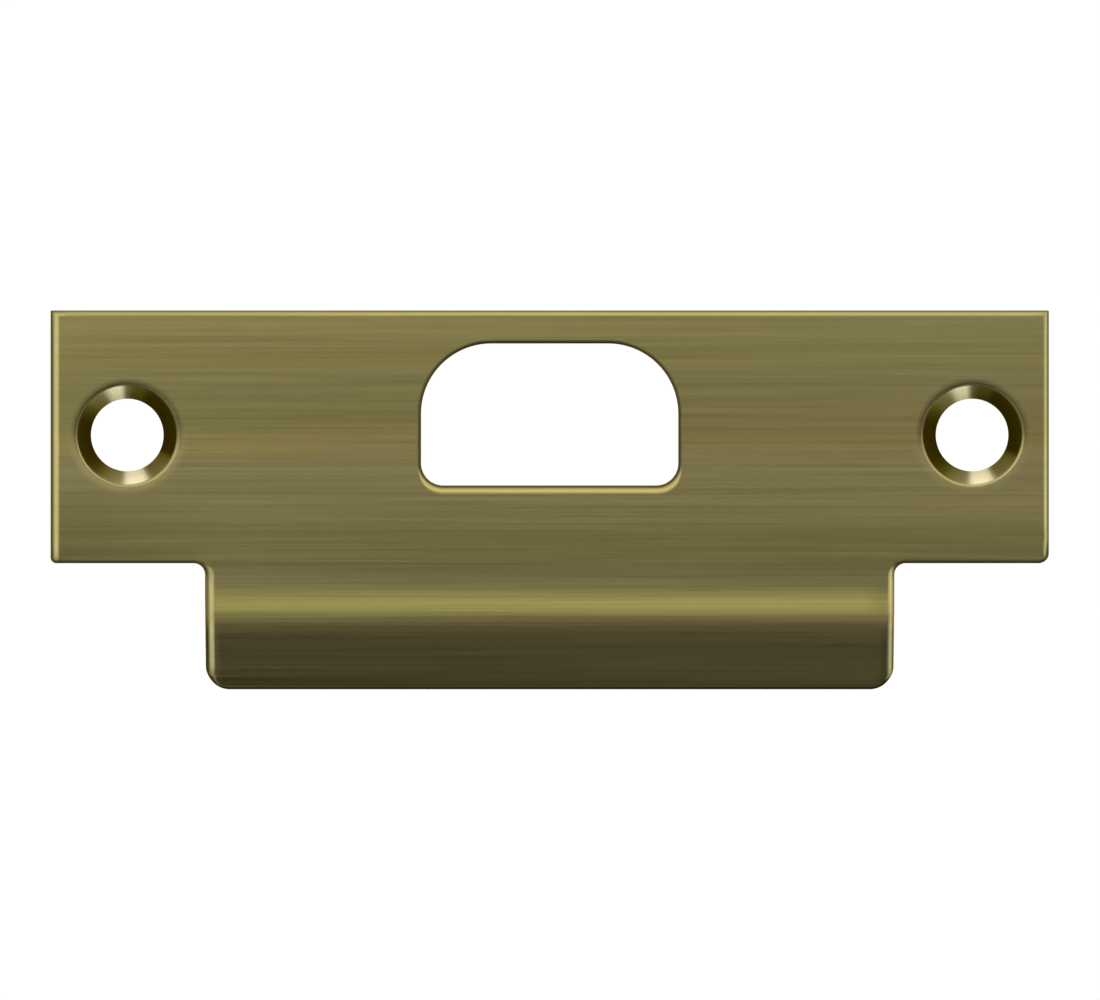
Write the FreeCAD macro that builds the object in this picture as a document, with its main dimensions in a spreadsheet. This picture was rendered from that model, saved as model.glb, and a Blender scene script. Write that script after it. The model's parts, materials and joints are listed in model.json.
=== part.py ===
import FreeCAD, Part
import math
import os
import Sketcher

# Door strike plate, blanked and formed from one brass sheet, as it sits on the jamb:
# +Z up along the plate, its face toward -Y, its back on Y = 0 and its lip toward +X.
# The origin is midway between the screws, on the back face.
sizes = {
    "plate_length": 123.8,  # along the jamb
    "plate_width": 31.35,  # across the jamb, without the lip
    "plate_thickness": 2.4,
    "far_edge_to_screws": 15.45,  # from the edge without the lip to the screw line
    "near_corner_radius": 1.1,
    "end_to_screw": 9.5,  # from each end of the plate to its screw
    "screw_hole_diameter": 9.0,
    "countersink_diameter": 12.3,
    "countersink_angle": 82.0,
    "latch_length": 31.9,  # opening, along the jamb
    "latch_width": 17.6,  # opening, across the jamb
    "latch_past_screws": 6.25,  # from the screw line to the opening's edge by the lip
    "latch_far_radius": 8.7,
    "latch_near_radius": 2.75,
    "lip_length": 85.5,  # along the jamb
    "lip_reach": 31.87,  # from the screw line to the tip
    "lip_bend_radius": 10.0,  # on the face
    "lip_bend_angle": 40.0,
    "lip_corner_radius": 2.95,
    "lip_root_radius": 1.4,
    "root_to_bend": 0.3,  # flat run between the root's round and the bend
    "face_edge_radius": 0.65,
    "latch_edge_radius": 0.5,
    "screw_rim_radius": 0.6,
    "back_edge_radius": 0.2,
}
near = 1e-4  # how closely two places must agree to be the same one

doc = FreeCAD.newDocument("door_strike_plate")
sheet = doc.addObject("Spreadsheet::Sheet", "dims")
for row, (alias, value) in enumerate(sizes.items(), 1):
    sheet.set(f"A{row}", alias)
    sheet.set(f"B{row}", str(value))
    sheet.setAlias(f"B{row}", alias)
doc.recompute()

body = doc.addObject("PartDesign::Body", "strike_plate")
body.Label = "strike_plate"
planes = {feature.Role: feature for feature in body.Origin.OriginFeatures}

# The sketches' own axes and points, by the solver's numbering
crossAxis, upAxis = range(-1, -3, -1)
start, end, centre = range(1, 4)
quarter = math.pi / 2

# Lengths that several sketches start from
thickness = sizes["plate_thickness"]
farEdge = -sizes["far_edge_to_screws"]
nearEdge = farEdge + sizes["plate_width"]
halfPlate = sizes["plate_length"] / 2
halfLip = sizes["lip_length"] / 2
bendStart = nearEdge + sizes["lip_root_radius"] + sizes["root_to_bend"]
bendAngle = math.radians(sizes["lip_bend_angle"])
lipNormal = FreeCAD.Vector(math.sin(bendAngle), -math.cos(bendAngle), 0)
lipRun = FreeCAD.Vector(math.cos(bendAngle), math.sin(bendAngle), 0)


def flat(x, y):
    return FreeCAD.Vector(x, y, 0)


def newSketch(name, role):
    sketch = body.newObject("Sketcher::SketchObject", name)
    sketch.AttachmentSupport = [(planes[role], "")]
    sketch.MapMode = "FlatFace"
    return sketch


def line(sketch, first, last):
    return sketch.addGeometry(Part.LineSegment(first, last))


def arc(sketch, middle, radius, fromAngle, toAngle):
    circle = Part.Circle(middle, FreeCAD.Vector(0, 0, 1), radius)
    return sketch.addGeometry(Part.ArcOfCircle(circle, fromAngle, toAngle))


def hold(sketch, kind, *where):
    return sketch.addConstraint(Sketcher.Constraint(kind, *where))


def size(sketch, name, formula, kind, *where):
    index = hold(sketch, kind, *where)
    sketch.renameConstraint(index, name)
    sketch.setExpression(f"Constraints.{name}", formula)


def feature(kind, name, **settings):
    made = body.newObject(f"PartDesign::{kind}", name)
    for key, value in settings.items():
        setattr(made, key, value)
    return made


def settle(made):
    # A feature counts once it is worked out and sound
    doc.recompute()
    if "Invalid" in made.State or "Error" in made.State:
        raise RuntimeError(f"{made.Name}: {made.State}")
    if made.Shape.isNull() or not made.Shape.isValid():
        raise RuntimeError(f"{made.Name}: the shape is not sound")
    return made


def roundEdges(name, radius, pick):
    # Rounds each edge of the body that pick accepts
    base = body.Tip
    chosen = [f"Edge{i}" for i, edge in enumerate(base.Shape.Edges, 1) if pick(edge)]
    if not chosen:
        raise RuntimeError(f"{name}: no edge found")
    made = feature("Fillet", name, Base=(base, chosen))
    made.setExpression("Radius", radius)
    return settle(made)


# Flat blank of the plate, from the back face forward
outline = newSketch("plate_outline", "XZ_Plane")
corners = [flat(farEdge, -halfPlate), flat(farEdge, halfPlate), flat(nearEdge, halfPlate)]
corners.append(flat(nearEdge, -halfPlate))
far, top, close, bottom = [line(outline, corners[i], corners[(i + 1) % 4]) for i in range(4)]
for before, after in ((far, top), (top, close), (close, bottom), (bottom, far)):
    hold(outline, "Coincident", before, end, after, start)
hold(outline, "Horizontal", top)
hold(outline, "Horizontal", bottom)
hold(outline, "Vertical", close)
hold(outline, "Symmetric", far, start, far, end, crossAxis)
size(outline, "length", "dims.plate_length", "DistanceY", far, start, far, end, 2 * halfPlate)
size(outline, "width", "dims.plate_width", "DistanceX", top, start, top, end, sizes["plate_width"])
size(outline, "inset", "dims.far_edge_to_screws", "DistanceX", far, start, -1, 1, -farEdge)
plate = feature("Pad", "plate", Profile=outline)
plate.setExpression("Length", "dims.plate_thickness")
settle(plate)

# Lip: its section runs flat out of the plate, bends back and ends square across the sheet
section = newSketch("lip_section", "XY_Plane")
bendRadius = sizes["lip_bend_radius"]
bendCentre = flat(bendStart, bendRadius - thickness)
bendEnd = bendCentre + lipNormal * bendRadius
lipTip = bendEnd + lipRun * ((sizes["lip_reach"] - bendEnd.x) / lipRun.x)
insideEnd = bendEnd - lipNormal * thickness
root = flat(nearEdge - thickness, -thickness)
faceRun = line(section, root, flat(bendStart, -thickness))
faceBend = arc(section, bendCentre, bendRadius, -quarter, bendAngle - quarter)
faceSlope = line(section, bendEnd, lipTip)
tip = line(section, lipTip, lipTip - lipNormal * thickness)
backSlope = line(section, lipTip - lipNormal * thickness, insideEnd)
backBend = arc(section, bendCentre, bendRadius - thickness, -quarter, bendAngle - quarter)
backRun = line(section, flat(bendStart, 0), flat(root.x, 0))
rootEnd = line(section, flat(root.x, 0), root)
hold(section, "Tangent", faceRun, end, faceBend, start)
hold(section, "Tangent", faceBend, end, faceSlope, start)
hold(section, "Perpendicular", faceSlope, end, tip, start)
hold(section, "Perpendicular", tip, end, backSlope, start)
hold(section, "Tangent", backSlope, end, backBend, end)
hold(section, "Tangent", backBend, start, backRun, start)
hold(section, "Coincident", backRun, end, rootEnd, start)
hold(section, "Coincident", rootEnd, end, faceRun, start)
hold(section, "Coincident", faceBend, centre, backBend, centre)
hold(section, "Horizontal", faceRun)
hold(section, "Horizontal", backRun)
hold(section, "Vertical", rootEnd)
hold(section, "PointOnObject", backRun, end, crossAxis)
edgeFormula = "dims.plate_width - dims.far_edge_to_screws"
size(section, "thick", "dims.plate_thickness", "DistanceY", rootEnd, end, rootEnd, start, thickness)
size(section, "begin", f"{edgeFormula} - dims.plate_thickness", "DistanceX", -1, 1, faceRun, start, root.x)
bendFormula = f"{edgeFormula} + dims.lip_root_radius + dims.root_to_bend"
size(section, "bendStart", bendFormula, "DistanceX", -1, 1, faceRun, end, bendStart)
size(section, "bend", "dims.lip_bend_radius", "Radius", faceBend, bendRadius)
size(section, "slope", "dims.lip_bend_angle * 1 deg", "Angle", faceSlope, bendAngle)
size(section, "reach", "dims.lip_reach", "DistanceX", -1, 1, faceSlope, end, sizes["lip_reach"])
lip = feature("Pad", "lip", Profile=section, SideType="Symmetric")
lip.setExpression("Length", "dims.lip_length")
settle(lip)


def acrossSheet(edge, x, z, tolerance=near):
    # Says if an edge runs straight through the sheet's thickness at this place on the face
    ends = [vertex.Point for vertex in edge.Vertexes]
    if len(ends) != 2 or abs(edge.Length - thickness) > tolerance:
        return False
    here = [abs(max(p.x for p in ends) - x), *(abs(abs(p.z) - z) for p in ends)]
    return max(here) < tolerance


# Corners of the blank
lipReach = sizes["lip_reach"]
roundEdges("near_corners", "dims.near_corner_radius", lambda e: acrossSheet(e, nearEdge, halfPlate))
roundEdges("lip_roots", "dims.lip_root_radius", lambda e: acrossSheet(e, nearEdge, halfLip))
roundEdges("lip_corners", "dims.lip_corner_radius", lambda e: acrossSheet(e, lipReach, halfLip))

# Latch opening: wide rounds away from the lip, tight ones beside it
opening = newSketch("latch_outline", "XZ_Plane")
latchNear = sizes["latch_past_screws"]
latchFar = latchNear - sizes["latch_width"]
halfLatch = sizes["latch_length"] / 2
wide = sizes["latch_far_radius"]
tight = sizes["latch_near_radius"]
farSide = line(opening, flat(latchFar, wide - halfLatch), flat(latchFar, halfLatch - wide))
topFar = arc(opening, flat(latchFar + wide, halfLatch - wide), wide, quarter, 2 * quarter)
topSide = line(opening, flat(latchFar + wide, halfLatch), flat(latchNear - tight, halfLatch))
topNear = arc(opening, flat(latchNear - tight, halfLatch - tight), tight, 0, quarter)
nearSide = line(opening, flat(latchNear, halfLatch - tight), flat(latchNear, tight - halfLatch))
lowNear = arc(opening, flat(latchNear - tight, tight - halfLatch), tight, 3 * quarter, 4 * quarter)
lowSide = line(opening, flat(latchNear - tight, -halfLatch), flat(latchFar + wide, -halfLatch))
lowFar = arc(opening, flat(latchFar + wide, wide - halfLatch), wide, 2 * quarter, 3 * quarter)
hold(opening, "Tangent", farSide, end, topFar, end)
hold(opening, "Tangent", topFar, start, topSide, start)
hold(opening, "Tangent", topSide, end, topNear, end)
hold(opening, "Tangent", topNear, start, nearSide, start)
hold(opening, "Tangent", nearSide, end, lowNear, end)
hold(opening, "Tangent", lowNear, start, lowSide, start)
hold(opening, "Tangent", lowSide, end, lowFar, end)
hold(opening, "Tangent", lowFar, start, farSide, start)
hold(opening, "Horizontal", topSide)
hold(opening, "Horizontal", lowSide)
hold(opening, "Symmetric", farSide, start, farSide, end, crossAxis)
hold(opening, "Symmetric", nearSide, start, nearSide, end, crossAxis)
hold(opening, "Equal", topFar, lowFar)
size(opening, "wide", "dims.latch_far_radius", "Radius", topFar, wide)
size(opening, "tight", "dims.latch_near_radius", "Radius", topNear, tight)
size(opening, "past", "dims.latch_past_screws", "DistanceX", -1, 1, nearSide, start, latchNear)
size(opening, "across", "dims.latch_width", "DistanceX", farSide, end, nearSide, start, sizes["latch_width"])
size(opening, "along", "dims.latch_length", "DistanceY", lowSide, start, topSide, end, 2 * halfLatch)
latch = feature("Pocket", "latch_opening", Profile=opening, SideType="Two sides")
latch.Type = "Length"
latch.Type2 = "Length"
latch.setExpression("Length", "dims.plate_thickness")
latch.setExpression("Length2", "dims.plate_thickness")
settle(latch)

# Countersunk screw holes, drilled from the face
drilling = newSketch("screw_places", "XZ_Plane")
drilling.setExpression("AttachmentOffset.Base.z", "dims.plate_thickness")
holeRadius = sizes["screw_hole_diameter"] / 2
halfSpacing = halfPlate - sizes["end_to_screw"]
upright = FreeCAD.Vector(0, 0, 1)
places = []
for side in (1, -1):
    places.append(drilling.addGeometry(Part.Circle(flat(0, side * halfSpacing), upright, holeRadius)))
upper, lower = places
hold(drilling, "PointOnObject", upper, centre, upAxis)
hold(drilling, "Symmetric", upper, centre, lower, centre, -1, 1)
hold(drilling, "Equal", upper, lower)
size(drilling, "bore", "dims.screw_hole_diameter", "Diameter", upper, 2 * holeRadius)
spacingFormula = "dims.plate_length - 2 * dims.end_to_screw"
size(drilling, "apart", spacingFormula, "DistanceY", lower, centre, upper, centre, 2 * halfSpacing)
doc.recompute()
screws = feature("Hole", "screw_holes", Profile=drilling)
screws.DepthType = "ThroughAll"
screws.ThreadType = "None"
screws.HoleCutType = "Countersink"
screws.HoleCutCustomValues = True
screws.setExpression("Diameter", "dims.screw_hole_diameter")
screws.setExpression("HoleCutDiameter", "dims.countersink_diameter")
screws.setExpression("HoleCutCountersinkAngle", "dims.countersink_angle")
settle(screws)


def isFace(face):
    # Says if a surface is part of the show side: the plate's face, the bend or the lip's face
    first, last, low, high = face.ParameterRange
    normal = face.normalAt((first + last) / 2, (low + high) / 2)
    kind = face.Surface.TypeId
    if kind == "Part::GeomCylinder":
        return abs(face.Surface.Radius - bendRadius) < near and abs(face.Surface.Axis.z) > 1 - near
    forward = FreeCAD.Vector(0, -1, 0)
    return kind == "Part::GeomPlane" and max(normal.dot(forward), normal.dot(lipNormal)) > 1 - near


def isBack(face):
    # Says the same of the side that lies on the jamb
    first, last, low, high = face.ParameterRange
    normal = face.normalAt((first + last) / 2, (low + high) / 2)
    kind = face.Surface.TypeId
    if kind == "Part::GeomCylinder":
        inside = abs(face.Surface.Radius - (bendRadius - thickness)) < near
        return inside and abs(face.Surface.Axis.z) > 1 - near
    backward = FreeCAD.Vector(0, 1, 0)
    return kind == "Part::GeomPlane" and max(normal.dot(backward), -normal.dot(lipNormal)) > 1 - near


def rim(edge, belongs):
    # Says if an edge borders one side of the sheet
    shape = body.Tip.Shape
    sides = [belongs(face) for face in shape.ancestorsOfType(edge, Part.Face)]
    return sides.count(True) == 1 and len(sides) == 2


def inLatch(edge):
    box = edge.BoundBox
    within = box.XMin > latchFar - near and box.XMax < latchNear + near
    return within and box.ZMax < halfLatch + near and box.ZMin > -halfLatch - near


def roundHole(edge, diameter):
    curve = edge.Curve
    return curve.TypeId == "Part::GeomCircle" and abs(curve.Radius - diameter / 2) < near and edge.isClosed()


def outer(edge):
    box = edge.BoundBox
    return not inLatch(edge) and not (edge.isClosed() and abs(box.Center.x) < near)


# Rounded rims of the show side, and the broken edge of the back
roundEdges("latch_rim", "dims.latch_edge_radius", lambda e: rim(e, isFace) and inLatch(e))
sinkDiameter = sizes["countersink_diameter"]
roundEdges("screw_rims", "dims.screw_rim_radius", lambda e: rim(e, isFace) and roundHole(e, sinkDiameter))
roundEdges("face_rim", "dims.face_edge_radius", lambda e: rim(e, isFace) and outer(e))
roundEdges("back_rim", "dims.back_edge_radius", lambda e: rim(e, isBack) and outer(e))

os.makedirs("parts", exist_ok=True)
shape = body.Shape
if len(shape.Solids) != 1 or not shape.isValid():
    raise RuntimeError("the plate is not one sound solid")
body.Tip.Shape.exportStep(f"parts/{body.Label}.step")
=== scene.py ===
import bpy, bmesh, json, math
from collections import namedtuple
from mathutils import Matrix, Vector
from mathutils.geometry import delaunay_2d_cdt
from mathutils.kdtree import KDTree


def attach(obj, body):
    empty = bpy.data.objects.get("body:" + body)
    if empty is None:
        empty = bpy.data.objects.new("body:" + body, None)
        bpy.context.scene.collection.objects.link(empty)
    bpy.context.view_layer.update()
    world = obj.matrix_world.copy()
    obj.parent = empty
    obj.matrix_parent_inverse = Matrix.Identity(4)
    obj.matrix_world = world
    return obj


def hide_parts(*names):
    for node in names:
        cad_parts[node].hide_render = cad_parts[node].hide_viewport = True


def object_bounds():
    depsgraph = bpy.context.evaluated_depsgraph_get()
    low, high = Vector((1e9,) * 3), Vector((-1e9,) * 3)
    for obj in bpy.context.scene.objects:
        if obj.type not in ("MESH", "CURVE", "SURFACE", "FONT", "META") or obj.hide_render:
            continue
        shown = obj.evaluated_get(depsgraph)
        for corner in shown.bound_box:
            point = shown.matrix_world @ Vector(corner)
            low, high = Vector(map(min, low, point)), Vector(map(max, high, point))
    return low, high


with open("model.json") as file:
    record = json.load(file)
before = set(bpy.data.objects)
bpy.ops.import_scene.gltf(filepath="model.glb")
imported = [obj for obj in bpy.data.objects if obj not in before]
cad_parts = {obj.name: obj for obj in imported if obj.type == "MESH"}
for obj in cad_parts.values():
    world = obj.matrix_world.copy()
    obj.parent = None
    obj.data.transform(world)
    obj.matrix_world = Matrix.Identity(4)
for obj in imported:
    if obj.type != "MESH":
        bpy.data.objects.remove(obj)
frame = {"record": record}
cadLow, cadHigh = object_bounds()
mm = 0.001

# What the frame gives, in millimetres
screwDims = next(m for m in frame["record"]["mounts"] if m["name"] == "screw_holes")["dims"]
thick = -cadLow.y / mm
farEdge = cadLow.x / mm
halfLength = cadHigh.z / mm
screwPlace = screwDims["spacing_y_mm"] / 2
boreRadius = screwDims["hole_r_mm"]
print("frame", "thick", round(thick, 3), "half length", round(halfLength, 3))


class Wire:  # one node socket that takes part in Python expressions
    def __init__(self, tree, socket=None):
        self.tree = tree
        self.socket = socket

    def node(self, kind, settings={}, sockets={}, output=0):
        made = self.tree.nodes.new(kind)
        for name, value in settings.items():
            setattr(made, name, value)
        for key, value in sockets.items():
            if isinstance(value, Wire):
                self.tree.links.new(value.socket, made.inputs[key])
            else:
                made.inputs[key].default_value = value
        return Wire(self.tree, made.outputs[output] if made.outputs else None)

    def out(self, name):  # another output of the same node
        return Wire(self.tree, self.socket.node.outputs[name])

    def math(self, operation, *others):
        return self.node("ShaderNodeMath", {"operation": operation}, dict(enumerate((self, *others))))

    def __add__(self, other):
        return self.math("ADD", other)

    def __sub__(self, other):
        return self.math("SUBTRACT", other)

    def __mul__(self, other):
        return self.math("MULTIPLY", other)

    def __truediv__(self, other):
        return self.math("DIVIDE", other)

    def __rsub__(self, other):
        return self.node("ShaderNodeMath", {"operation": "SUBTRACT"}, {0: other, 1: self})

    __radd__ = __add__
    __rmul__ = __mul__

    def step(self, start, end):  # 0 before start, 1 after end, smooth between
        return self.node("ShaderNodeMapRange", {"interpolation_type": "SMOOTHSTEP"},
                         {"Value": self, "From Min": start, "From Max": end, "To Min": 0.0, "To Max": 1.0})

    def strip(self, rise, fall):  # 1 past the rise and before the fall; either can be None
        up = self.step(*rise) if rise else None
        down = 1 - self.step(*fall) if fall else None
        return up * down if up and down else up or down

    def tint(self, plain, full):  # plain colour where this is 0, full where it is 1
        return self.node("ShaderNodeMix", {"data_type": "RGBA"}, {0: self, 6: plain, 7: full}, 2)

    def scaled(self, amount):  # a colour made lighter or darker
        return self.node("ShaderNodeVectorMath", {"operation": "SCALE"}, {0: self, "Scale": amount})

    def cast(self, other):  # a colour multiplied by another
        return self.node("ShaderNodeVectorMath", {"operation": "MULTIPLY"}, {0: self, 1: other})


# Brushed, aged brass with buffed rims and turned screw seats, and painted light and shade: bright bands and
# dark lines along the rims, a shadow, glow and highlights round the seats, and lighter and darker strips
# across the face
finishAndPaintedLight = {
    "olive": (0.400, 0.350, 0.132, 1),
    "brown": (0.425, 0.340, 0.140, 1),
    # buffed brass, also used as painted highlight along the rims and as the painted glow below the seats
    "buffed": (0.66, 0.575, 0.245, 1),
    # patina, also used as painted shade: the dark lines along the rims, the lip's corners and the shadow
    # above the seats
    "patina": (0.080, 0.070, 0.029, 1),
    "grazing": (0.75, 0.62, 0.30, 1),
    "brownShare": 0.25,
    "oldOnLip": 0.45,  # painted shade: how much darker the patina-coloured shade is at the lip's end
    "roughness": 0.31,
    "streakRoughness": 0.05,
    "agedRoughness": 0.14,
    "anisotropy": 0.4,
    "streakTone": 0.19,
    "streakDepth": 0.000006,
    "lipStreaks": 0.4,  # how much more the streaks stand out on the lip
    "hueStreaks": 0.62,
    "rimStreaks": 0.5,
    "tilt": 0.0013,  # painted light and shade: lighter by this much per mm toward the right, against the floor's light
    # Streaks: cells per mm across and along, noise offsets across and in depth, detail
    "streaks": {
        "fine": (3.4, 0.036, 3, 0, 2.0),
        "hair": (8.0, 0.030, 31, 0, 1.0),
        "medium": (1.1, 0.009, 11, 0, 2.0),
        "broad": (0.26, 0.002, 23, 0, 1.0),
        "warm": (0.18, 0.001, 52, 0, 2.0),
        "cloud": (0.09, 0.008, 0, 5, 1.0),
    },
    "streakWeights": {
        "tone": {"medium": 0.95, "broad": 0.45},
        "lipTone": {"fine": 1.42, "hair": 1.3},
        "hue": {"cloud": 1.8, "medium": 1.2},
        "depth": {"fine": 1.0, "hair": 0.5, "medium": 1.5},
    },
    # Screw seats, with painted highlights and shade by clock angle; the clock angle runs from 0 at the far
    # side to 0.5 at the lip's side and on to 1
    "seat": {
        "ringsPerMm": 9.0,
        "ringOffset": 4,
        "ringDetail": 2.0,
        "ringTone": 0.5,
        "ringDepth": 3.0,
        "evenRadius": 5.4,  # mm; painted: lighter outside it and darker inside
        "outwardTone": 0.22,
        "edgeFade": 0.55,
        "green": (0.905, -0.008),  # share of red, and what is added
        "blue": (0.62, -0.07),
        "darkBlue": (0.17, -0.005),
        "roughness": 0.45,
        "dullFrom": (0.08, 0.9),  # between these tones the painted highlights lose their metal and turn matte
        "dullBy": 0.9,
        # painted highlight wedges and shade in the seats: clock angle, tone
        "tones": [(0, 0.29), (0.028, 0.135), (0.056, 0.10), (0.09, 0.043), (0.30, 0.041),
                  (0.335, 0.142), (0.37, 0.19), (0.40, 0.195), (0.42, 0.335), (0.442, 0.87),
                  (0.472, 1.0), (0.50, 0.86), (0.528, 0.28), (0.575, 0.19), (0.625, 0.075),
                  (0.66, 0.046), (0.78, 0.039), (0.825, 0.069), (0.87, 0.185), (0.905, 0.285),
                  (0.94, 0.80), (0.97, 1.0), (0.985, 0.70), (1, 0.29)],
    },
    # Zones of the finish and of its painted light and shade: each comes in over its first pair of values and
    # goes over its second
    "zones": {
        "across": {  # mm from the screw line toward the lip
            "farSide": (None, (-14.0, -10.0)),
            "farHalf": (None, (-6.0, -1.0)),
            "evenBand": ((-2.0, 10.0), (18.0, 19.5)),
            "brownBand": ((-1.5, 1.2), (1.6, 4.0)),
            "lightBand": ((-0.5, 5.0), (8.5, 12.0)),
            "lowerWing": ((6.0, 9.0), None),
            "nearSide": ((8.5, 11.0), (14.5, 17.0)),
            "upToLatch": (None, (9.0, 11.0)),
            "nearEdge": ((13.6, 14.6), None),
            "pastEdge": ((14.2, 15.8), None),
            "lip": ((16.0, 18.0), None),
            "bendTop": ((16.2, 17.8), (19.3, 20.2)),
            "bend": ((16.5, 18.0), (21.5, 25.0)),
            "alongBend": ((17.0, 20.0), None),
            "goldBand": ((18.0, 20.0), (22.0, 23.5)),
            "goldEnd": ((18.2, 19.4), (21.4, 23.0)),
            "lowBend": ((20.4, 24.6), None),
            "bendFoot": ((21.5, 23.0), (24.5, 26.5)),
            "oldLip": ((21.5, 26.0), None),
            "greyFold": ((21.8, 23.0), (26.0, 29.0)),
            "pastBend": ((22.0, 25.0), None),
            "straight": ((22.5, 25.0), None),
            "brownFold": ((22.7, 23.4), (24.0, 26.5)),
            "foldLine": ((23.0, 23.5), (23.9, 24.6)),
            "leftCorner": ((28.2, 30.2), None),
            "rightEnding": ((28.5, 30.6), None),
            "tipSide": ((28.6, 30.8), None),
            "rightCorner": ((28.7, 30.8), None),
        },
        "along": {  # mm from the middle toward the right
            "leftWing": (None, (-60.0, -36.0)),
            "leftHalf": (None, (-1.0, 1.0)),
            "rightHalf": ((-1.0, 1.0), None),
            "towardRight": ((5.0, 50.0), None),
            "rightEnd": ((38.6, 41.4), None),
            "rightRim": ((60.4, 60.9), None),
        },
        "outward": {  # mm from the middle toward either end
            "latchLength": (None, (17.5, 19.0)),
            "withinLip": (None, (40.6, 41.6)),
            "wings": ((42.8, 45.0), None),
        },
        "depth": {"front": (None, (-0.5, -0.4))},  # mm from the back
        "age": {"show": (None, (0.05, 0.4))},  # the face, without the walls and the back
        "shine": {"rim": ((0.0, 0.2), None), "thinRim": ((0.0, 0.12), None)},
        "radius": {  # mm from the nearer screw's middle
            "seatEdge": ((5.98, 6.20), None),
            "seat": (None, (6.07, 6.26)),
            "shadow": (None, (6.1, 7.3)),
            "glow": ((6.20, 6.50), (6.55, 7.7)),
            "topLine": (None, (6.30, 6.75)),
            "lowLine": (None, (6.35, 6.65)),
        },
        "clock": {  # from 0 at the far side of the seat to 0.5 at the lip's side
            "top": (None, (0.06, 0.17)),
            "upper": (None, (0.205, 0.325)),
            "lower": ((0.205, 0.325), None),
        },
    },
    # What the zones do: a weight, or one each for red, green and blue, then the zones that share it
    "looks": {
        # lighter and darker strips across the face, mostly painted light and shade: a lighter far side, bands
        # and bend top, darker tip, wings and right end
        "lighter": [
            (0.09, "farSide"), (0.14, "brownBand"), (0.19, "lightBand"), (0.06, "nearSide"),
            (0.21, "bendTop"), (0.14, "brownFold"), (0.16, "foldLine"), (-0.22, "tipSide"),
            (-0.13, "leftWing", "lowerWing"), (-0.08, "wings", "nearEdge"), (-0.18, "rightEnd", "goldEnd")],
        "tilt": [(0.0013, "evenBand"), (0.0062, "straight", "withinLip")],
        "browner": [(0.45, "show", "brownBand"), (0.3, "show", "brownFold")],
        # colour tints, partly painted light and shade: yellower where the bend's highlight falls, bluer on
        # the lip's shaded slope
        "faceCast": [
            ((0, 0.015, -0.14), "show", "goldBand"), ((0, 0, -0.12), "show", "brownBand"),
            ((0, 0, 0.12), "show", "greyFold"), ((0, 0, 0.10), "show", "farHalf", "towardRight")],
        # painted highlight on the rims: the bright band follows the lip's own lighting, with its own tints
        # and lighter or darker stretches
        "rimShine": [(-0.80, "pastEdge"), (0.75, "alongBend"), (-0.62, "lowBend")],
        "rimFade": [(0.8, "rightHalf", "rightEnding")],
        "rimCast": [
            ((-0.04, -0.11, -0.22), "rim", "latchLength", "upToLatch"),
            ((-0.08, 0.03, 0), "thinRim", "rightRim"),
            ((-0.05, 0.04, 0.24), "rim", "pastBend"),
            ((0.14, 0.14, 0), "rim", "pastBend", "leftHalf"),
            ((-0.14, -0.14, -0.14), "rim", "rightHalf", "bendFoot")],
        # painted shade at the lip's corners, and less of the rims' painted dark line along the bend
        "oldCorners": [(0.55, "rim", "leftHalf", "leftCorner"), (0.22, "rim", "rightHalf", "rightCorner")],
        "lessOld": [(0.35, "bend")],
        # painted glow below the seats and painted shadow above them
        "seatGlow": [(0.62, "front", "glow", "lower")],
        "seatDull": [
            (0.85, "front", "shadow", "upper"), (0.20, "front", "lowLine", "lower"),
            (0.12, "front", "topLine", "top")],
    },
}


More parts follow.
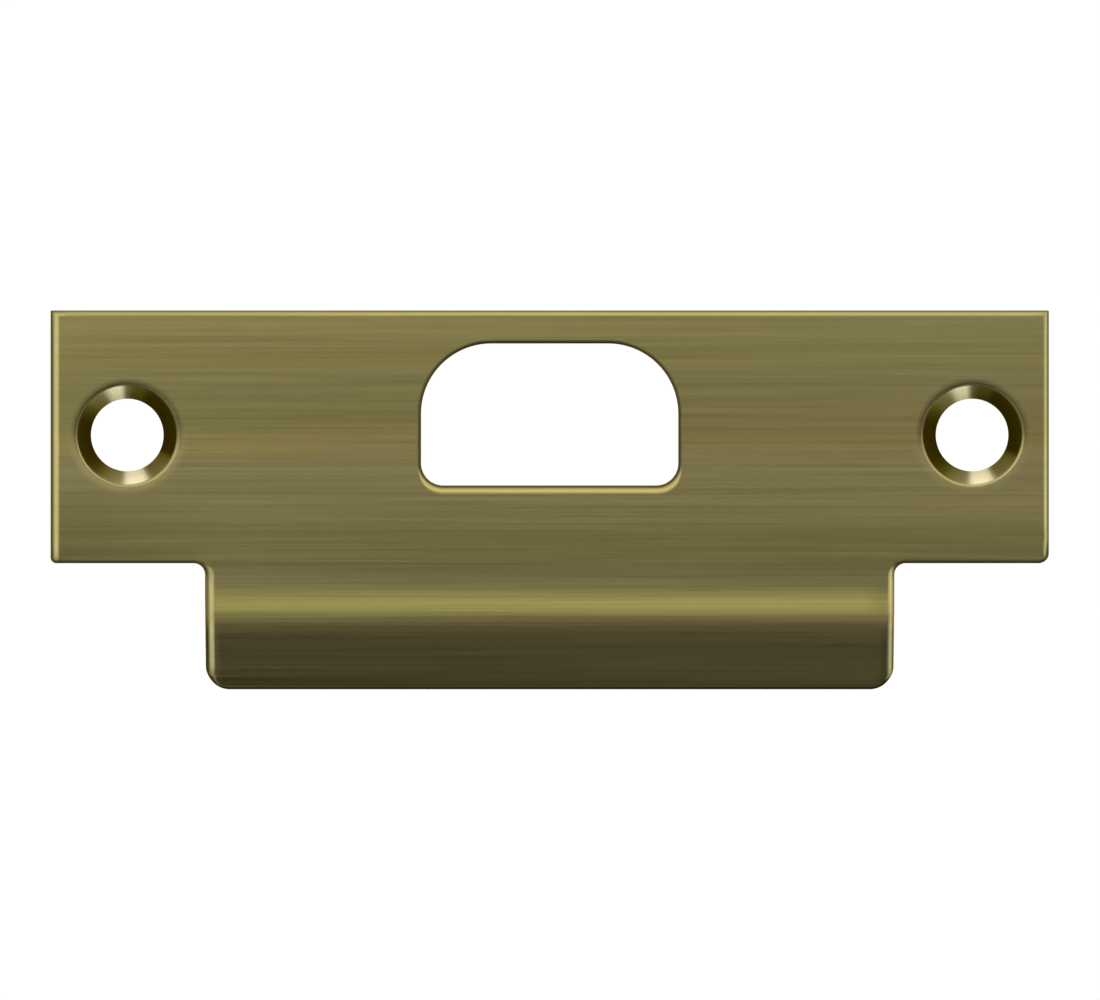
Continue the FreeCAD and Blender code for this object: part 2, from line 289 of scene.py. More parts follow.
def makeBrass():
    seat, looks = finishAndPaintedLight["seat"], finishAndPaintedLight["looks"]
    material = bpy.data.materials.new("antiqueBrass")
    material.use_nodes = True
    tree = material.node_tree
    tree.nodes.clear()
    bench = Wire(tree)
    spot = bench.node("ShaderNodeTexCoord", output="Object")
    parts = spot.node("ShaderNodeSeparateXYZ", {}, {0: spot})
    x, y, z = (parts.out(axis) * (1 / mm) for axis in "XYZ")
    # painted shade as a dark line along the rims and age on the walls and back; then the rims' bright band of
    # wear and painted highlight
    shadeAndAgeLevel = bench.node("ShaderNodeAttribute", {"attribute_name": "edgeAge"}, output="Fac")
    lit = bench.node("ShaderNodeAttribute", {"attribute_name": "edgeShine"}, output="Fac")
    end = z.math("SIGN")
    fromScrew = z - end * screwPlace
    radius = (x * x + fromScrew * fromScrew).math("SQRT")
    clock = (fromScrew.math("ARCTAN2", x * -1) / (2 * math.pi) + 1).math("FRACT")
    measures = {"across": x, "along": z, "outward": z.math("ABSOLUTE"), "depth": y, "age": shadeAndAgeLevel,
                "shine": lit, "radius": radius, "clock": clock.math("PINGPONG", 0.5)}
    zone = {name: measures[measure].strip(*pairs)
            for measure, group in finishAndPaintedLight["zones"].items() for name, pairs in group.items()}

    def noise(detail, *places):
        at = bench.node("ShaderNodeCombineXYZ", {}, dict(enumerate(places)))
        return bench.node("ShaderNodeTexNoise", {}, {"Vector": at, "Scale": 1.0, "Detail": detail}) - 0.5

    def streak(across, along, offset, lift, detail):
        return noise(detail, x * across + offset, y * across + lift, z * along)

    grain = {name: streak(*row) for name, row in finishAndPaintedLight["streaks"].items()}

    def grains(kind):
        return sum(grain[name] * weight for name, weight in finishAndPaintedLight["streakWeights"][kind].items())

    def effect(rows):  # the zones' weights added up
        total = 0
        for weight, first, *others in rows:
            part = zone[first]
            for name in others:
                part = part * zone[name]
            total = total + part * weight
        return total

    def castOf(rows):  # a colour to multiply by
        return bench.node("ShaderNodeCombineXYZ", {}, {
            k: 1 + effect([(weights[k], *names) for weights, *names in rows if weights[k]])
            for k in range(3)})

    # the face: brush streaks, with painted light and shade across and along it
    onLip = 1 + zone["lip"] * finishAndPaintedLight["lipStreaks"]
    tone = 1 + (grains("lipTone") * onLip + grains("tone")) * finishAndPaintedLight["streakTone"]
    tilt = finishAndPaintedLight["tilt"] + effect(looks["tilt"])
    tone = tone + (effect(looks["lighter"]) + z * tilt) * zone["show"]
    hue = (grains("hue") + finishAndPaintedLight["brownShare"] + effect(looks["browner"])).step(0.0, 1.0)
    warmth = bench.node("ShaderNodeCombineXYZ", {}, {
        0: 1.0, 1: 1.0, 2: 1 + grain["warm"] * finishAndPaintedLight["hueStreaks"]})
    colour = hue.tint(finishAndPaintedLight["olive"], finishAndPaintedLight["brown"]).scaled(tone)
    colour = colour.cast(castOf(looks["faceCast"])).cast(warmth)

    # rims: a bright band where they turn, buffed and with painted highlight, and a painted dark line of shade
    # along the very edge
    buffed = lit * (1 + effect(looks["rimShine"])) * (1 - effect(looks["rimFade"]))
    colour = (buffed * (1 + grain["medium"] * finishAndPaintedLight["rimStreaks"])).tint(colour, finishAndPaintedLight["buffed"])
    colour = colour.cast(castOf(looks["rimCast"]))
    # patina colour used as painted shade, darker at the lip's end
    patinaShade = bench.node("ShaderNodeVectorMath", {"operation": "SCALE"}, {
        0: finishAndPaintedLight["patina"][:3], "Scale": 1 - zone["oldLip"] * finishAndPaintedLight["oldOnLip"]})
    colour = effect(looks["oldCorners"]).tint(colour, patinaShade)
    colour = (shadeAndAgeLevel * (1 - effect(looks["lessOld"]))).tint(colour, patinaShade)

    # screw seats, with a painted shadow above, a painted glow below, and painted highlights and shade in the
    # turned seat
    colour = effect(looks["seatGlow"]).tint(colour, finishAndPaintedLight["buffed"])
    colour = effect(looks["seatDull"]).tint(colour, finishAndPaintedLight["patina"])
    inSeat = zone["front"] * zone["seat"]
    rings = noise(seat["ringDetail"], radius * seat["ringsPerMm"], end * seat["ringOffset"])
    shine = bench.node("ShaderNodeFloatCurve", {}, {"Factor": 1.0, "Value": clock})
    mapping = shine.socket.node.mapping
    marks = mapping.curves[0].points
    while len(marks) < len(seat["tones"]):
        marks.new(0.5, 0.5)
    for mark, place in zip(marks, seat["tones"]):
        mark.location = place
        mark.handle_type = "AUTO_CLAMPED"
    mapping.update()
    # the seat's painted highlights and shade, with turning rings, lighter outward and fading at the edge
    seatPaintedLight = shine * (1 + rings * seat["ringTone"] + (radius - seat["evenRadius"]) * seat["outwardTone"])
    seatPaintedLight = seatPaintedLight * (1 - zone["seatEdge"] * seat["edgeFade"])
    green, blue, darkBlue = (seatPaintedLight * share + added
                             for share, added in (seat["green"], seat["blue"], seat["darkBlue"]))
    turned = bench.node("ShaderNodeCombineColor", {}, {
        0: seatPaintedLight, 1: green, 2: blue.math("MAXIMUM", darkBlue)})
    colour = inSeat.tint(colour, turned)

    rough = (grain["fine"] + grain["medium"]) * finishAndPaintedLight["streakRoughness"] + finishAndPaintedLight["roughness"]
    rough = rough + shadeAndAgeLevel * finishAndPaintedLight["agedRoughness"]
    rough = rough * (1 - inSeat) + inSeat * seat["roughness"]
    # the brightest painted highlights in the seats lose their metal
    metal = 1 - inSeat * shine.step(*seat["dullFrom"]) * seat["dullBy"]
    height = grains("depth") * (1 - inSeat) + rings * inSeat * seat["ringDepth"]
    bump = bench.node("ShaderNodeBump", {}, {
        "Strength": 1.0, "Distance": finishAndPaintedLight["streakDepth"], "Height": height})
    shader = bench.node("ShaderNodeBsdfPrincipled", {}, {
        "Base Color": colour, "Metallic": metal, "Roughness": rough, "Normal": bump,
        "Anisotropic": finishAndPaintedLight["anisotropy"], "Specular Tint": finishAndPaintedLight["grazing"]})
    bench.node("ShaderNodeOutputMaterial", {}, {"Surface": shader})
    return material


brass = makeBrass()
print("brass ready")

# The plate as a flat blank: u across it, v along it, depth from the show face, in millimetres
plate = {
    "nearEdge": 15.9,
    "farCorner": 0.15,
    "nearCornerLeft": 0.75,
    "nearCornerRight": 1.3,
    "lipHalf": 42.75,
    "lipCorner": 2.95,
    "lipRoot": 1.4,
    "bendStart": 17.6,
    "bendRadius": 10.0,
    "bendAngle": 40.0,
    "backRound": 0.2,
    "latchBackRound": 0.1,
    "latchFar": -11.35,
    "latchNear": 6.25,
    "latchHalf": 15.95,
    "latchFarCorner": 8.7,
    "latchNearCorner": 2.75,
    "sinkRadius": 6.15,
    "sinkAngle": 82.0,
    "sinkRound": 0.9,
    "boreEdge": 0.03,
    "boreBackEdge": 0.12,
    "wallAge": 0.5,
    "backAge": 0.4,
    # How finely the blank is cut up, in millimetres and in steps
    "cutting": {
        "spacing": 2.2,
        "bendSpacing": 0.32,
        "bendGap": 0.3,  # from the bend's own rows to the others
        "coneSpacing": 0.25,
        "guard": 0.05,  # flat ring between a rim and the face
        "clear": 0.45,  # from a rim to the nearest row
        "runMargin": 1.5,  # from a corner to the nearest row's cut
        "nearCorner": (0.45, 0.9),  # closer cuts next to a round corner, where the rim changes
        "tightCorner": 1.4,  # outer corners below this are fans from one inner point
        "sharpCorner": 0.5,  # and below this their sides meet in a mitre
        "mitreFrom": 0.9,
        "cornerLineTo": 0.9,  # share of a fan that has the corner's own dark line
        "cornerSteps": ((2.5, 22), (0.5, 12), (0.0, 6)),  # radius above, steps
        "flatSteps": 4,
        "rimSteps": 16,
        "backSteps": 4,
        "sinkSteps": 12,
        "holeSteps": 112,
        "wallDepth": 1.45,  # of the ring halfway down a wall
        "samePlace": 1e-8,  # metres
        "sameSpot": 1e-6,  # millimetres, where the face is cut into triangles
    },
    # Rims by side, each lit and shaded its own way: rounding; painted dark line of shade full to, gone by,
    # weight; bright band of wear and painted highlight: peak, gone by, weight
    "rims": {
        "far": (0.78, 0.08, 0.34, 0.58, 0.45, 0.88, 0.00),
        "left": (1.12, 0.18, 0.60, 0.90, 0.72, 1.18, 0.88),
        "right": (0.80, 0.10, 0.36, 0.85, 0.40, 0.82, 0.25),
        "near": (0.35, 0.24, 0.55, 1.00, 0.60, 0.70, 0.00),
        "lipLeft": (1.20, 0.28, 0.70, 1.00, 0.82, 1.28, 1.00),
        "lipRight": (0.94, 0.10, 0.40, 0.85, 0.46, 0.96, 0.75),
        "lipRightLow": (1.12, 0.10, 0.40, 0.85, 0.52, 1.20, 0.70),
        "lipCorner": (1.15, 0.60, 1.02, 1.00, 1.08, 1.40, 0.80),
        "tip": (0.45, 0.50, 0.85, 1.00, 0.86, 0.90, 0.00),
        "latch": (0.40, 0.24, 0.54, 1.00, 0.60, 0.70, 0.00),
        "latchNear": (1.14, 0.16, 0.46, 0.90, 0.62, 1.12, 0.33),
    },
    # How rims blend round the corners, by how far the edge has turned from across (0) to along (1)
    "blends": {
        "tipToCorner": (0.55, 0.93),
        "cornerToLeft": (0.93, 1.0),
        "cornerToRight": (0.80, 1.0),
        "bulge": 0.1,  # the rounding is fuller in the middle of a lip corner
        "bulgeIn": (0.5, 0.85),
        "bulgeOut": (0.93, 1.0),
        "sidePower": 2,
        "rootPower": 5,
        "rootIn": (0.4, 0.75),
        "rootLeast": 0.5,
        "rootLine": 0.6,
        "widensFrom": 21.5,  # mm across, where the right side's band starts to widen
        "pastEdge": 0.01,  # mm past the near edge that counts as lip
    },
}
Rim = namedtuple("Rim", "radius lineTo lineOff line peak inner shine")
rims = {side: Rim(*row) for side, row in plate["rims"].items()}
cutting, blends = plate["cutting"], plate["blends"]


def smooth(value, start, end):
    t = min(max((value - start) / (end - start), 0.0), 1.0)
    return t * t * (3 - 2 * t)


def mixed(first, second, share):
    return tuple(a + (b - a) * share for a, b in zip(first, second))


def mixedRim(first, second, share):
    return Rim(*mixed(first, second, share))


def levels(start, end, gap):
    count = max(1, round((end - start) / gap))
    return [start + (end - start) * k / count for k in range(count + 1)]


quarter = math.pi / 2
bendAngle = math.radians(plate["bendAngle"])
bendEnd = plate["bendStart"] + plate["bendRadius"] * bendAngle
sine, cosine = math.sin(bendAngle), math.cos(bendAngle)
reach = cadHigh.x / mm + rims["tip"].radius * ((1 - cosine) * cosine + (1 - sine) * sine)
tip = bendEnd + (reach - plate["bendStart"] - plate["bendRadius"] * sine) / cosine
uRows = (levels(farEdge, plate["bendStart"] - cutting["bendGap"], cutting["spacing"])
         + levels(plate["bendStart"], bendEnd, cutting["bendSpacing"])
         + levels(bendEnd + cutting["bendGap"], tip, cutting["spacing"]))
vRows = levels(-halfLength, halfLength, cutting["spacing"])


def rightOf(way):
    return Vector((way.y, -way.x))


def traceLoop(corners):  # (place, right-hand normal, fan) round a loop with rounded corners
    found = []
    margin = cutting["runMargin"]
    spots = [Vector((u, v)) for u, v, radius in corners]
    radii = [radius for u, v, radius in corners]
    ways = [(after - here).normalized() for here, after in zip(spots, spots[1:] + spots[:1])]
    turns = [1 if ways[k - 1].cross(ways[k]) > 0 else -1 for k in range(len(ways))]
    fans = [turn > 0 and radius < cutting["tightCorner"] for turn, radius in zip(turns, radii)]
    for k, radius in enumerate(radii):
        here, inward, turn = spots[k], ways[k - 1], turns[k]
        start = here - inward * radius
        # straight run up to this corner, cut at the rows
        runStart = spots[k - 1] + inward * radii[k - 1]
        normal = rightOf(inward)
        axis = 0 if abs(inward.x) > 0.5 else 1
        way = inward[axis]
        first, last = runStart[axis] * way, start[axis] * way
        cuts = [c * way for c in (uRows, vRows)[axis] if first + margin < c * way < last - margin]
        if last - first > 2 * margin:
            cuts += [] if fans[k - 1] else [first + gap for gap in cutting["nearCorner"]]
            cuts += [] if fans[k] else [last - gap for gap in cutting["nearCorner"]]
        for cut in sorted(cuts):
            at = start.copy()
            at[axis] = cut * way
            found.append((at, normal, None))
        centre = start - normal * radius * turn
        steps = next(count for least, count in cutting["cornerSteps"] if radius > least)
        for j in range(steps + 1):
            heading = Matrix.Rotation(quarter * j / steps * turn, 2) @ inward
            outward = rightOf(heading)
            fan = (here, normal, rightOf(ways[k]), radius, j / steps) if fans[k] else None
            found.append((centre + outward * radius * turn, outward, fan))
    return found


points, shadesAndAges, shines, faces = [], [], [], []


def addRing(places):  # places are (u, v, depth, shade and age, shine), with painted shade along the rims and age on the walls and back; a repeated place is one point
    ring = []
    for u, v, depth, age, shine in places:
        at = (u * mm, (depth - thick) * mm, v * mm)
        if ring and math.dist(at, points[ring[-1]]) < cutting["samePlace"]:
            ring.append(ring[-1])
            continue
        points.append(at)
        shadesAndAges.append(age)
        shines.append(shine)
        ring.append(len(points) - 1)
    return ring


def addFace(*corners):
    kept = [c for k, c in enumerate(corners) if c != corners[k - 1]]
    if len(kept) > 2:
        faces.append(kept)


def skin(rings):
    for a, b in zip(rings, rings[1:]):
        for k in range(len(a)):
            addFace(a[k - 1], a[k], b[k], b[k - 1])


def roundDepth(inset, radius):  # how far a quarter round has fallen at an inset
    gap = max(radius - inset, 0.0)
    return radius - math.sqrt(radius * radius - gap * gap)


def rimLook(rim, inset):  # the painted dark line of shade, and the bright band of wear and painted highlight
    band = smooth(inset, rim.lineTo, rim.peak) * (1 - smooth(inset, rim.peak, rim.inner))
    return rim.line * (1 - smooth(inset, rim.lineTo, rim.lineOff)), rim.shine * band


def edgeColumn(rim, back):  # (inset, depth, shade and age, shine) from the face round to the back
    flatSteps, rimSteps, backSteps = (cutting[part + "Steps"] for part in ("flat", "rim", "back"))
    wallAge, backAge = plate["wallAge"], plate["backAge"]
    flatTo = max(rim.radius, rim.inner) + cutting["guard"]
    insets = [rim.radius + (flatTo - rim.radius) * k / flatSteps for k in range(flatSteps, 0, -1)]
    insets += [rim.radius * (1 - math.sin(quarter * k / rimSteps)) for k in range(rimSteps + 1)]
    column = [(inset, roundDepth(inset, rim.radius), *rimLook(rim, inset)) for inset in insets]
    column.append((0.0, cutting["wallDepth"], wallAge, 0.0))
    for k in range(backSteps + 1):
        turned = quarter * k / backSteps
        column.append((back * (1 - math.cos(turned)), thick - back * (1 - math.sin(turned)),
                       wallAge + (backAge - wallAge) * k / backSteps, 0.0))
    column.append((back + cutting["guard"], thick, backAge, 0.0))
    return column


def fanColumn(at, fan, rimAt, back):  # (place, depth, shade and age, shine) from a tight corner's inner point out
    here, firstWay, secondWay, radius, share = fan
    first, second = rimAt(at, firstWay), rimAt(at, secondWay)
    along = first if abs(firstWay.x) > 0.5 else second
    columns = edgeColumn(first, back), edgeColumn(second, back)
    widths = [column[0][0] for column in columns]
    flats = [max(width, radius) for width in widths]
    inner = here - firstWay * flats[0] - secondWay * flats[1]
    centre = here - (firstWay + secondWay) * radius
    faceLevels = cutting["flatSteps"] + cutting["rimSteps"] + 1
    made = []
    for a, b in zip(*columns):
        part = (a[0] / widths[0]) * (1 - share) + (b[0] / widths[1]) * share
        spot = at.lerp(inner, part)
        if radius < cutting["sharpCorner"]:  # the two sides meet in a mitre
            past = min(a[0], b[0]) > cutting["mitreFrom"] * radius
            spot = here - firstWay * a[0] - secondWay * b[0] if past else spot
            made.append((spot, *mixed(a[1:], b[1:], 0.5 if past else share)))
        elif len(made) < faceLevels:
            across, down = (here - spot).dot(firstWay), (here - spot).dot(secondWay)
            turned = max(radius - (spot - centre).length, 0.0)
            depth = max(roundDepth(across, first.radius), roundDepth(down, second.radius))
            (firstShade, firstShine), (secondShade, secondShine) = rimLook(first, across), rimLook(second, down)
            cornerShade = rimLook(along, turned)[0] if part < cutting["cornerLineTo"] else 0.0
            shine = max(firstShine * (1 - secondShade), secondShine * (1 - firstShade))
            made.append((spot, depth, max(firstShade, secondShade, cornerShade), shine))
        else:
            made.append((spot, *a[1:]))
    return made


def wrapEdge(loop, side, rimAt, back):  # rings from face to back; returns the first and the last
    columns = []  # side is 1 round the outline and -1 round an opening
    for at, normal, fan in loop:
        if fan:
            columns.append(fanColumn(at, fan, rimAt, back))
        else:
            column = edgeColumn(rimAt(at, normal), back)
            columns.append([(at - normal * inset * side, *rest) for inset, *rest in column])
    rings = [addRing([(*spot, *rest) for spot, *rest in level]) for level in zip(*columns)]
    skin(rings)
    return rings[0], rings[-1]


def sinkColumn():  # (radius, depth) of a screw hole, from the face in
    slope = math.radians(90 - plate["sinkAngle"] / 2)
    fall = math.tan(slope)
    edge, rim = plate["sinkRadius"], plate["sinkRound"]
    lead, backEdge = plate["boreEdge"], plate["boreBackEdge"]
    start = edge + rim * math.tan(slope / 2)
    column = [(start + cutting["guard"], 0.0)]
    for k in range(cutting["sinkSteps"] + 1):
        a = slope * k / cutting["sinkSteps"]
        column.append((start - rim * math.sin(a), rim * (1 - math.cos(a))))
    for r in levels(column[-1][0], boreRadius, cutting["coneSpacing"])[1:-1]:
        column.append((r, (edge - r) * fall))
    coneEnd = (edge - boreRadius) * fall
    column += [(boreRadius + wider, depth) for wider, depth in (
        (lead, coneEnd - lead * fall), (0.0, coneEnd), (0.0, coneEnd + lead),
        (0.0, thick - backEdge), (lead, thick - lead), (backEdge, thick),
        (backEdge + cutting["guard"], thick))]
    return column


def sinkHole(middle):
    rings = []
    clock = levels(0, 2 * math.pi, 2 * math.pi / cutting["holeSteps"])[:-1]
    for radius, depth in sinkColumn():
        age = plate["backAge"] if depth == thick else 0.0
        rings.append(addRing([(radius * math.cos(t), middle + radius * math.sin(t), depth, age, 0.0)
                              for t in clock]))
    skin(rings)
    return rings[0], rings[-1]


def contains(polygon, u, v):
    inside = False
    for (ua, va), (ub, vb) in zip(polygon, polygon[1:] + polygon[:1]):
        if (va > v) != (vb > v) and u < (ub - ua) * (v - va) / (vb - va) + ua:
            inside = not inside
    return inside


def fillFace(outer, holes, depth, age):  # even triangles between the outer ring and the holes
    flat, source, edges, shapes = [], [], [], []
    for ring in (outer, *holes):
        ring = list(dict.fromkeys(ring))
        start = len(flat)
        shapes.append([(points[k][0] / mm, points[k][2] / mm) for k in ring])
        flat += [Vector(at) for at in shapes[-1]]
        source += ring
        edges += [(start + k, start + (k + 1) % len(ring)) for k in range(len(ring))]
    near = KDTree(len(flat))
    for k, at in enumerate(flat):
        near.insert((at.x, at.y, 0), k)
    near.balance()
    inner = [(u, v, depth, age, 0.0) for u in uRows for v in vRows
             if near.find((u, v, 0))[2] > cutting["clear"] and contains(shapes[0], u, v)
             and not any(contains(shape, u, v) for shape in shapes[1:])]
    source += addRing(inner)
    flat += [Vector(at[:2]) for at in inner]
    places, _, cells, origins, *_ = delaunay_2d_cdt(flat, edges, [], 1, cutting["sameSpot"])
    for cell in cells:
        middle = sum((places[k] for k in cell), Vector((0, 0))) / len(cell)
        if not any(contains(shape, *middle) for shape in shapes[1:]):
            addFace(*(source[origins[k][0]] for k in cell))


def lipRimAt(at):  # the right side's band widens past the bend
    if at.y < 0:
        return rims["lipLeft"]
    return mixedRim(rims["lipRight"], rims["lipRightLow"], smooth(at.x, blends["widensFrom"], bendEnd))


def outerRimAt(at, normal):  # each side has its own rim, blended round the corners
    share = abs(normal.y)
    sideShare = share ** blends["sidePower"]
    if at.x > bendEnd:
        toSide = blends["cornerToLeft" if at.y < 0 else "cornerToRight"]
        rim = mixedRim(rims["tip"], rims["lipCorner"], smooth(share, *blends["tipToCorner"]))
        rim = mixedRim(rim, lipRimAt(at), smooth(share, *toSide))
        bulge = smooth(share, *blends["bulgeIn"]) * (1 - smooth(share, *blends["bulgeOut"]))
        plain = mixedRim(rims["tip"], lipRimAt(at), sideShare).radius
        return rim._replace(radius=plain * (1 + blends["bulge"] * bulge))
    if at.x > plate["nearEdge"] + blends["pastEdge"]:  # the root, where the band runs on straight
        rim = mixedRim(rims["near"], lipRimAt(at), share ** blends["rootPower"])
        slip = plate["lipRoot"] * (1 / max(share, blends["rootLeast"]) - 1) * smooth(share, *blends["rootIn"])
        return rim._replace(lineOff=rim.lineOff + slip * blends["rootLine"],
                            peak=rim.peak + slip, inner=rim.inner + slip)
    side = rims["left" if at.y < 0 else "right"]
    return mixedRim(rims["far" if normal.x < 0 else "near"], side, sideShare)


def latchRimAt(at, normal):  # the edge next to the lip is the rounder one
    lean = smooth(at.x, plate["latchNear"] - plate["latchNearCorner"], plate["latchNear"])
    return mixedRim(rims["latch"], rims["latchNear"], lean)


near, lip = plate["nearEdge"], plate["lipHalf"]
outerLoop = traceLoop([
    (farEdge, -halfLength, plate["farCorner"]), (near, -halfLength, plate["nearCornerLeft"]),
    (near, -lip, plate["lipRoot"]), (tip, -lip, plate["lipCorner"]),
    (tip, lip, plate["lipCorner"]), (near, lip, plate["lipRoot"]),
    (near, halfLength, plate["nearCornerRight"]), (farEdge, halfLength, plate["farCorner"])])
latchLoop = traceLoop([
    (plate["latchFar"], -plate["latchHalf"], plate["latchFarCorner"]),
    (plate["latchNear"], -plate["latchHalf"], plate["latchNearCorner"]),
    (plate["latchNear"], plate["latchHalf"], plate["latchNearCorner"]),
    (plate["latchFar"], plate["latchHalf"], plate["latchFarCorner"])])
outerFace, outerBack = wrapEdge(outerLoop, 1, outerRimAt, plate["backRound"])
latchFace, latchBack = wrapEdge(latchLoop, -1, latchRimAt, plate["latchBackRound"])
lowSink, lowBore = sinkHole(-screwPlace)
highSink, highBore = sinkHole(screwPlace)
fillFace(outerFace, [latchFace, lowSink, highSink], 0.0, 0.0)
fillFace(outerBack, [latchBack, lowBore, highBore], thick, plate["backAge"])

blank = bpy.data.meshes.new("strikePlate")
blank.from_pydata(points, [], faces)
work = bmesh.new()
work.from_mesh(blank)
bmesh.ops.recalc_face_normals(work, faces=work.faces)
loose = sum(not e.is_manifold for e in work.edges)
work.to_mesh(blank)
work.free()
blank.attributes.new("edgeAge", "FLOAT", "POINT").data.foreach_set("value", shadesAndAges)
blank.attributes.new("edgeShine", "FLOAT", "POINT").data.foreach_set("value", shines)
blank.shade_smooth()
strikePlate = bpy.data.objects.new("strikePlate", blank)
bpy.context.scene.collection.objects.link(strikePlate)
print("blank", len(points), "points,", len(faces), "faces,", loose, "open edges")

# Forming: the rows past bendStart roll round bendRadius through bendAngle, then run straight
former = bpy.data.node_groups.new("formLip", "GeometryNodeTree")
former.interface.new_socket("Blank", in_out="INPUT", socket_type="NodeSocketGeometry")
inputs = {name: former.interface.new_socket(name, in_out="INPUT", socket_type="NodeSocketFloat").identifier
          for name in ("Bend Start", "Bend Radius", "Bend Angle", "Face Level")}
former.interface.new_socket("Formed", in_out="OUTPUT", socket_type="NodeSocketGeometry")
given = Wire(former).node("NodeGroupInput", output="Blank")
bendStart, bendRadius, bendBy, faceLevel = (given.out(name) for name in inputs)
place = given.node("GeometryNodeInputPosition")
axes = place.node("ShaderNodeSeparateXYZ", {}, {0: place})
u, w, v = axes.out("X"), axes.out("Y") - faceLevel, axes.out("Z")
phi = ((u - bendStart) / bendRadius).math("MAXIMUM", 0.0).math("MINIMUM", bendBy)
run = (u - bendStart - bendRadius * bendBy).math("MAXIMUM", 0.0)
arm = bendRadius - w
formed = given.node("ShaderNodeCombineXYZ", {}, {
    0: u.math("MINIMUM", bendStart) + arm * phi.math("SINE") + run * phi.math("COSINE"),
    1: faceLevel + bendRadius - arm * phi.math("COSINE") + run * phi.math("SINE"),
    2: v})
moved = given.node("GeometryNodeSetPosition", {}, {"Geometry": given, "Position": formed})
whole = given.node("GeometryNodeRealizeInstances", {}, {0: moved})
coated = given.node("GeometryNodeSetMaterial", {}, {"Geometry": whole, "Material": brass})
given.node("NodeGroupOutput", {}, {0: coated})
forming = strikePlate.modifiers.new("formLip", "NODES")
forming.node_group = former
for name, value in (("Bend Start", plate["bendStart"] * mm), ("Bend Radius", plate["bendRadius"] * mm),
                    ("Bend Angle", bendAngle), ("Face Level", cadLow.y)):
    forming[inputs[name]] = value
graph = bpy.context.evaluated_depsgraph_get()
formedMesh = bpy.data.meshes.new_from_object(strikePlate.evaluated_get(graph), depsgraph=graph)
strikePlate.modifiers.remove(forming)
strikePlate.data = formedMesh
formedMesh.name = "strikePlateFormed"
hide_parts("strike_plate")
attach(strikePlate, "root")
print("plate formed", len(formedMesh.polygons), "faces")

# Floor: a pale disc that fades out, well below the plate
floorLook = {"drop": 0.14, "radius": 1.2, "segments": 96, "fadeFrom": 0.45, "fadeTo": 0.98,
             "colour": (0.92, 0.92, 0.915, 1)}
floorMesh = bpy.data.meshes.new("floor")
disc = bmesh.new()
bmesh.ops.create_circle(disc, cap_ends=True, segments=floorLook["segments"], radius=floorLook["radius"])
disc.to_mesh(floorMesh)
disc.free()
floor = bpy.data.objects.new("floor", floorMesh)
floor.location = (0, 0, -floorLook["drop"])
bpy.context.scene.collection.objects.link(floor)
floorCoat = bpy.data.materials.new("floorCoat")
floorCoat.use_nodes = True
floorCoat.node_tree.nodes.clear()
bench = Wire(floorCoat.node_tree)
where = bench.node("ShaderNodeTexCoord", output="Object")
distance = where.node("ShaderNodeVectorMath", {"operation": "LENGTH"}, {0: where}, "Value")
fade = distance.step(floorLook["fadeFrom"] * floorLook["radius"], floorLook["fadeTo"] * floorLook["radius"])
matt = bench.node("ShaderNodeBsdfDiffuse", {}, {"Color": floorLook["colour"]})
clear = bench.node("ShaderNodeBsdfTransparent")
bench.node("ShaderNodeOutputMaterial", {}, {
    "Surface": bench.node("ShaderNodeMixShader", {}, {0: fade, 1: matt, 2: clear})})
floorMesh.materials.append(floorCoat)

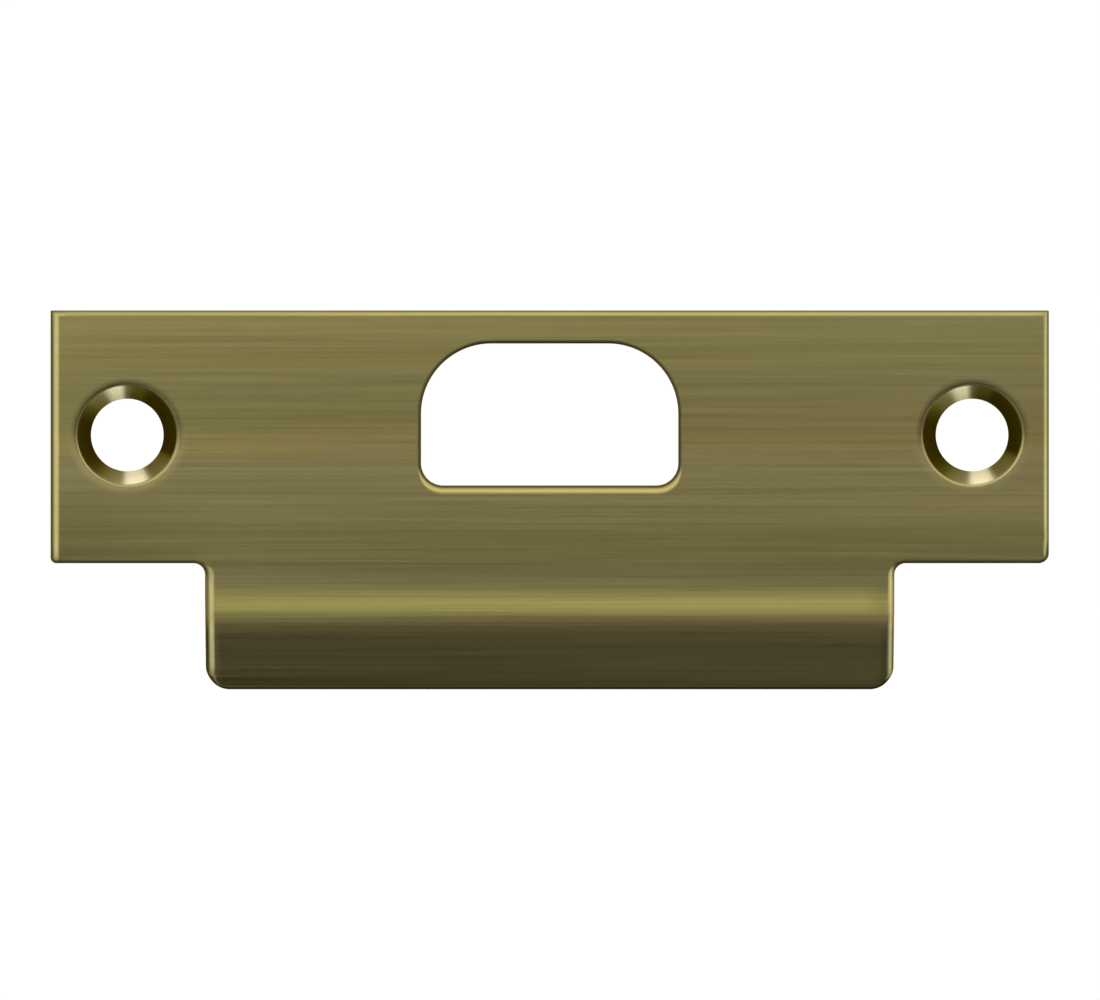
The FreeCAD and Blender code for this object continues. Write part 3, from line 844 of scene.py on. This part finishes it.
# Studio: white all round, dimmer behind the camera, with a dark screen on the lip's side
studio = {"white": 1.01, "front": 0.10, "frontFrom": 0.78, "frontTo": 0.97,
          "screen": 0.015, "screenFrom": 0.66, "screenTo": 0.95}
world = bpy.data.worlds.new("studio")
bpy.context.scene.world = world
world.use_nodes = True
world.node_tree.nodes.clear()
bench = Wire(world.node_tree)
looking = bench.node("ShaderNodeTexCoord", output="Generated")
aim = looking.node("ShaderNodeSeparateXYZ", {}, {0: looking})
front = (aim.out("Y") * -1).step(studio["frontFrom"], studio["frontTo"])
screen = aim.out("X").step(studio["screenFrom"], studio["screenTo"])
level = studio["white"] + front * (studio["front"] - studio["white"])
level = level * (1 - screen) + screen * studio["screen"]
bench.node("ShaderNodeOutputWorld", {}, {
    "Surface": bench.node("ShaderNodeBackground", {}, {"Color": (1, 1, 1, 1), "Strength": level})})

# Lamps: place, aim, size across and along, radiance
lamps = {
    "faceGlow": ((-0.11, -0.15, 0.0), (-0.11, 0.0, 0.0), 0.20, 0.25, 0.41),
    "farKey": ((-0.34, -0.20, 0.0), (0.0, 0.0, 0.0), 0.16, 0.16, 0.1),
    "lipStrip": ((0.202, -0.240, 0.0), (0.020, 0.0, 0.0), 0.075, 0.26, 0.17),
}
for name, (place, target, across, along, radiance) in lamps.items():
    lamp = bpy.data.lights.new(name, "AREA")
    lamp.shape = "RECTANGLE"
    lamp.size, lamp.size_y = across, along
    lamp.energy = radiance * math.pi * across * along
    holder = bpy.data.objects.new(name, lamp)
    back = (Vector(place) - Vector(target)).normalized()
    right = Vector((0, 0, 1)).cross(back).normalized()
    turned = Matrix((right, back.cross(right), back)).transposed().to_4x4()
    holder.matrix_world = Matrix.Translation(place) @ turned
    holder.visible_camera = False
    bpy.context.scene.collection.objects.link(holder)

# Camera: square on to the face, rolled so that the lip is at the bottom of the picture
view = {"lens": 700.0, "sensor": 36.0, "width": 136.36, "across": 8.06, "along": 0.04, "clip": (0.05, 20.0)}
cameraData = bpy.data.cameras.new("camera")
cameraData.lens = view["lens"]
cameraData.sensor_width = view["sensor"]
cameraData.sensor_fit = "HORIZONTAL"
cameraData.clip_start, cameraData.clip_end = view["clip"]
away = thick + view["lens"] / view["sensor"] * view["width"]
camera = bpy.data.objects.new("camera", cameraData)
camera.matrix_world = Matrix(((0, -1, 0, view["across"] * mm), (0, 0, -1, -away * mm),
                              (1, 0, 0, view["along"] * mm), (0, 0, 0, 1)))
bpy.context.scene.collection.objects.link(camera)
bpy.context.scene.camera = camera
bpy.context.scene.view_settings.view_transform = "Standard"
print("studio ready")
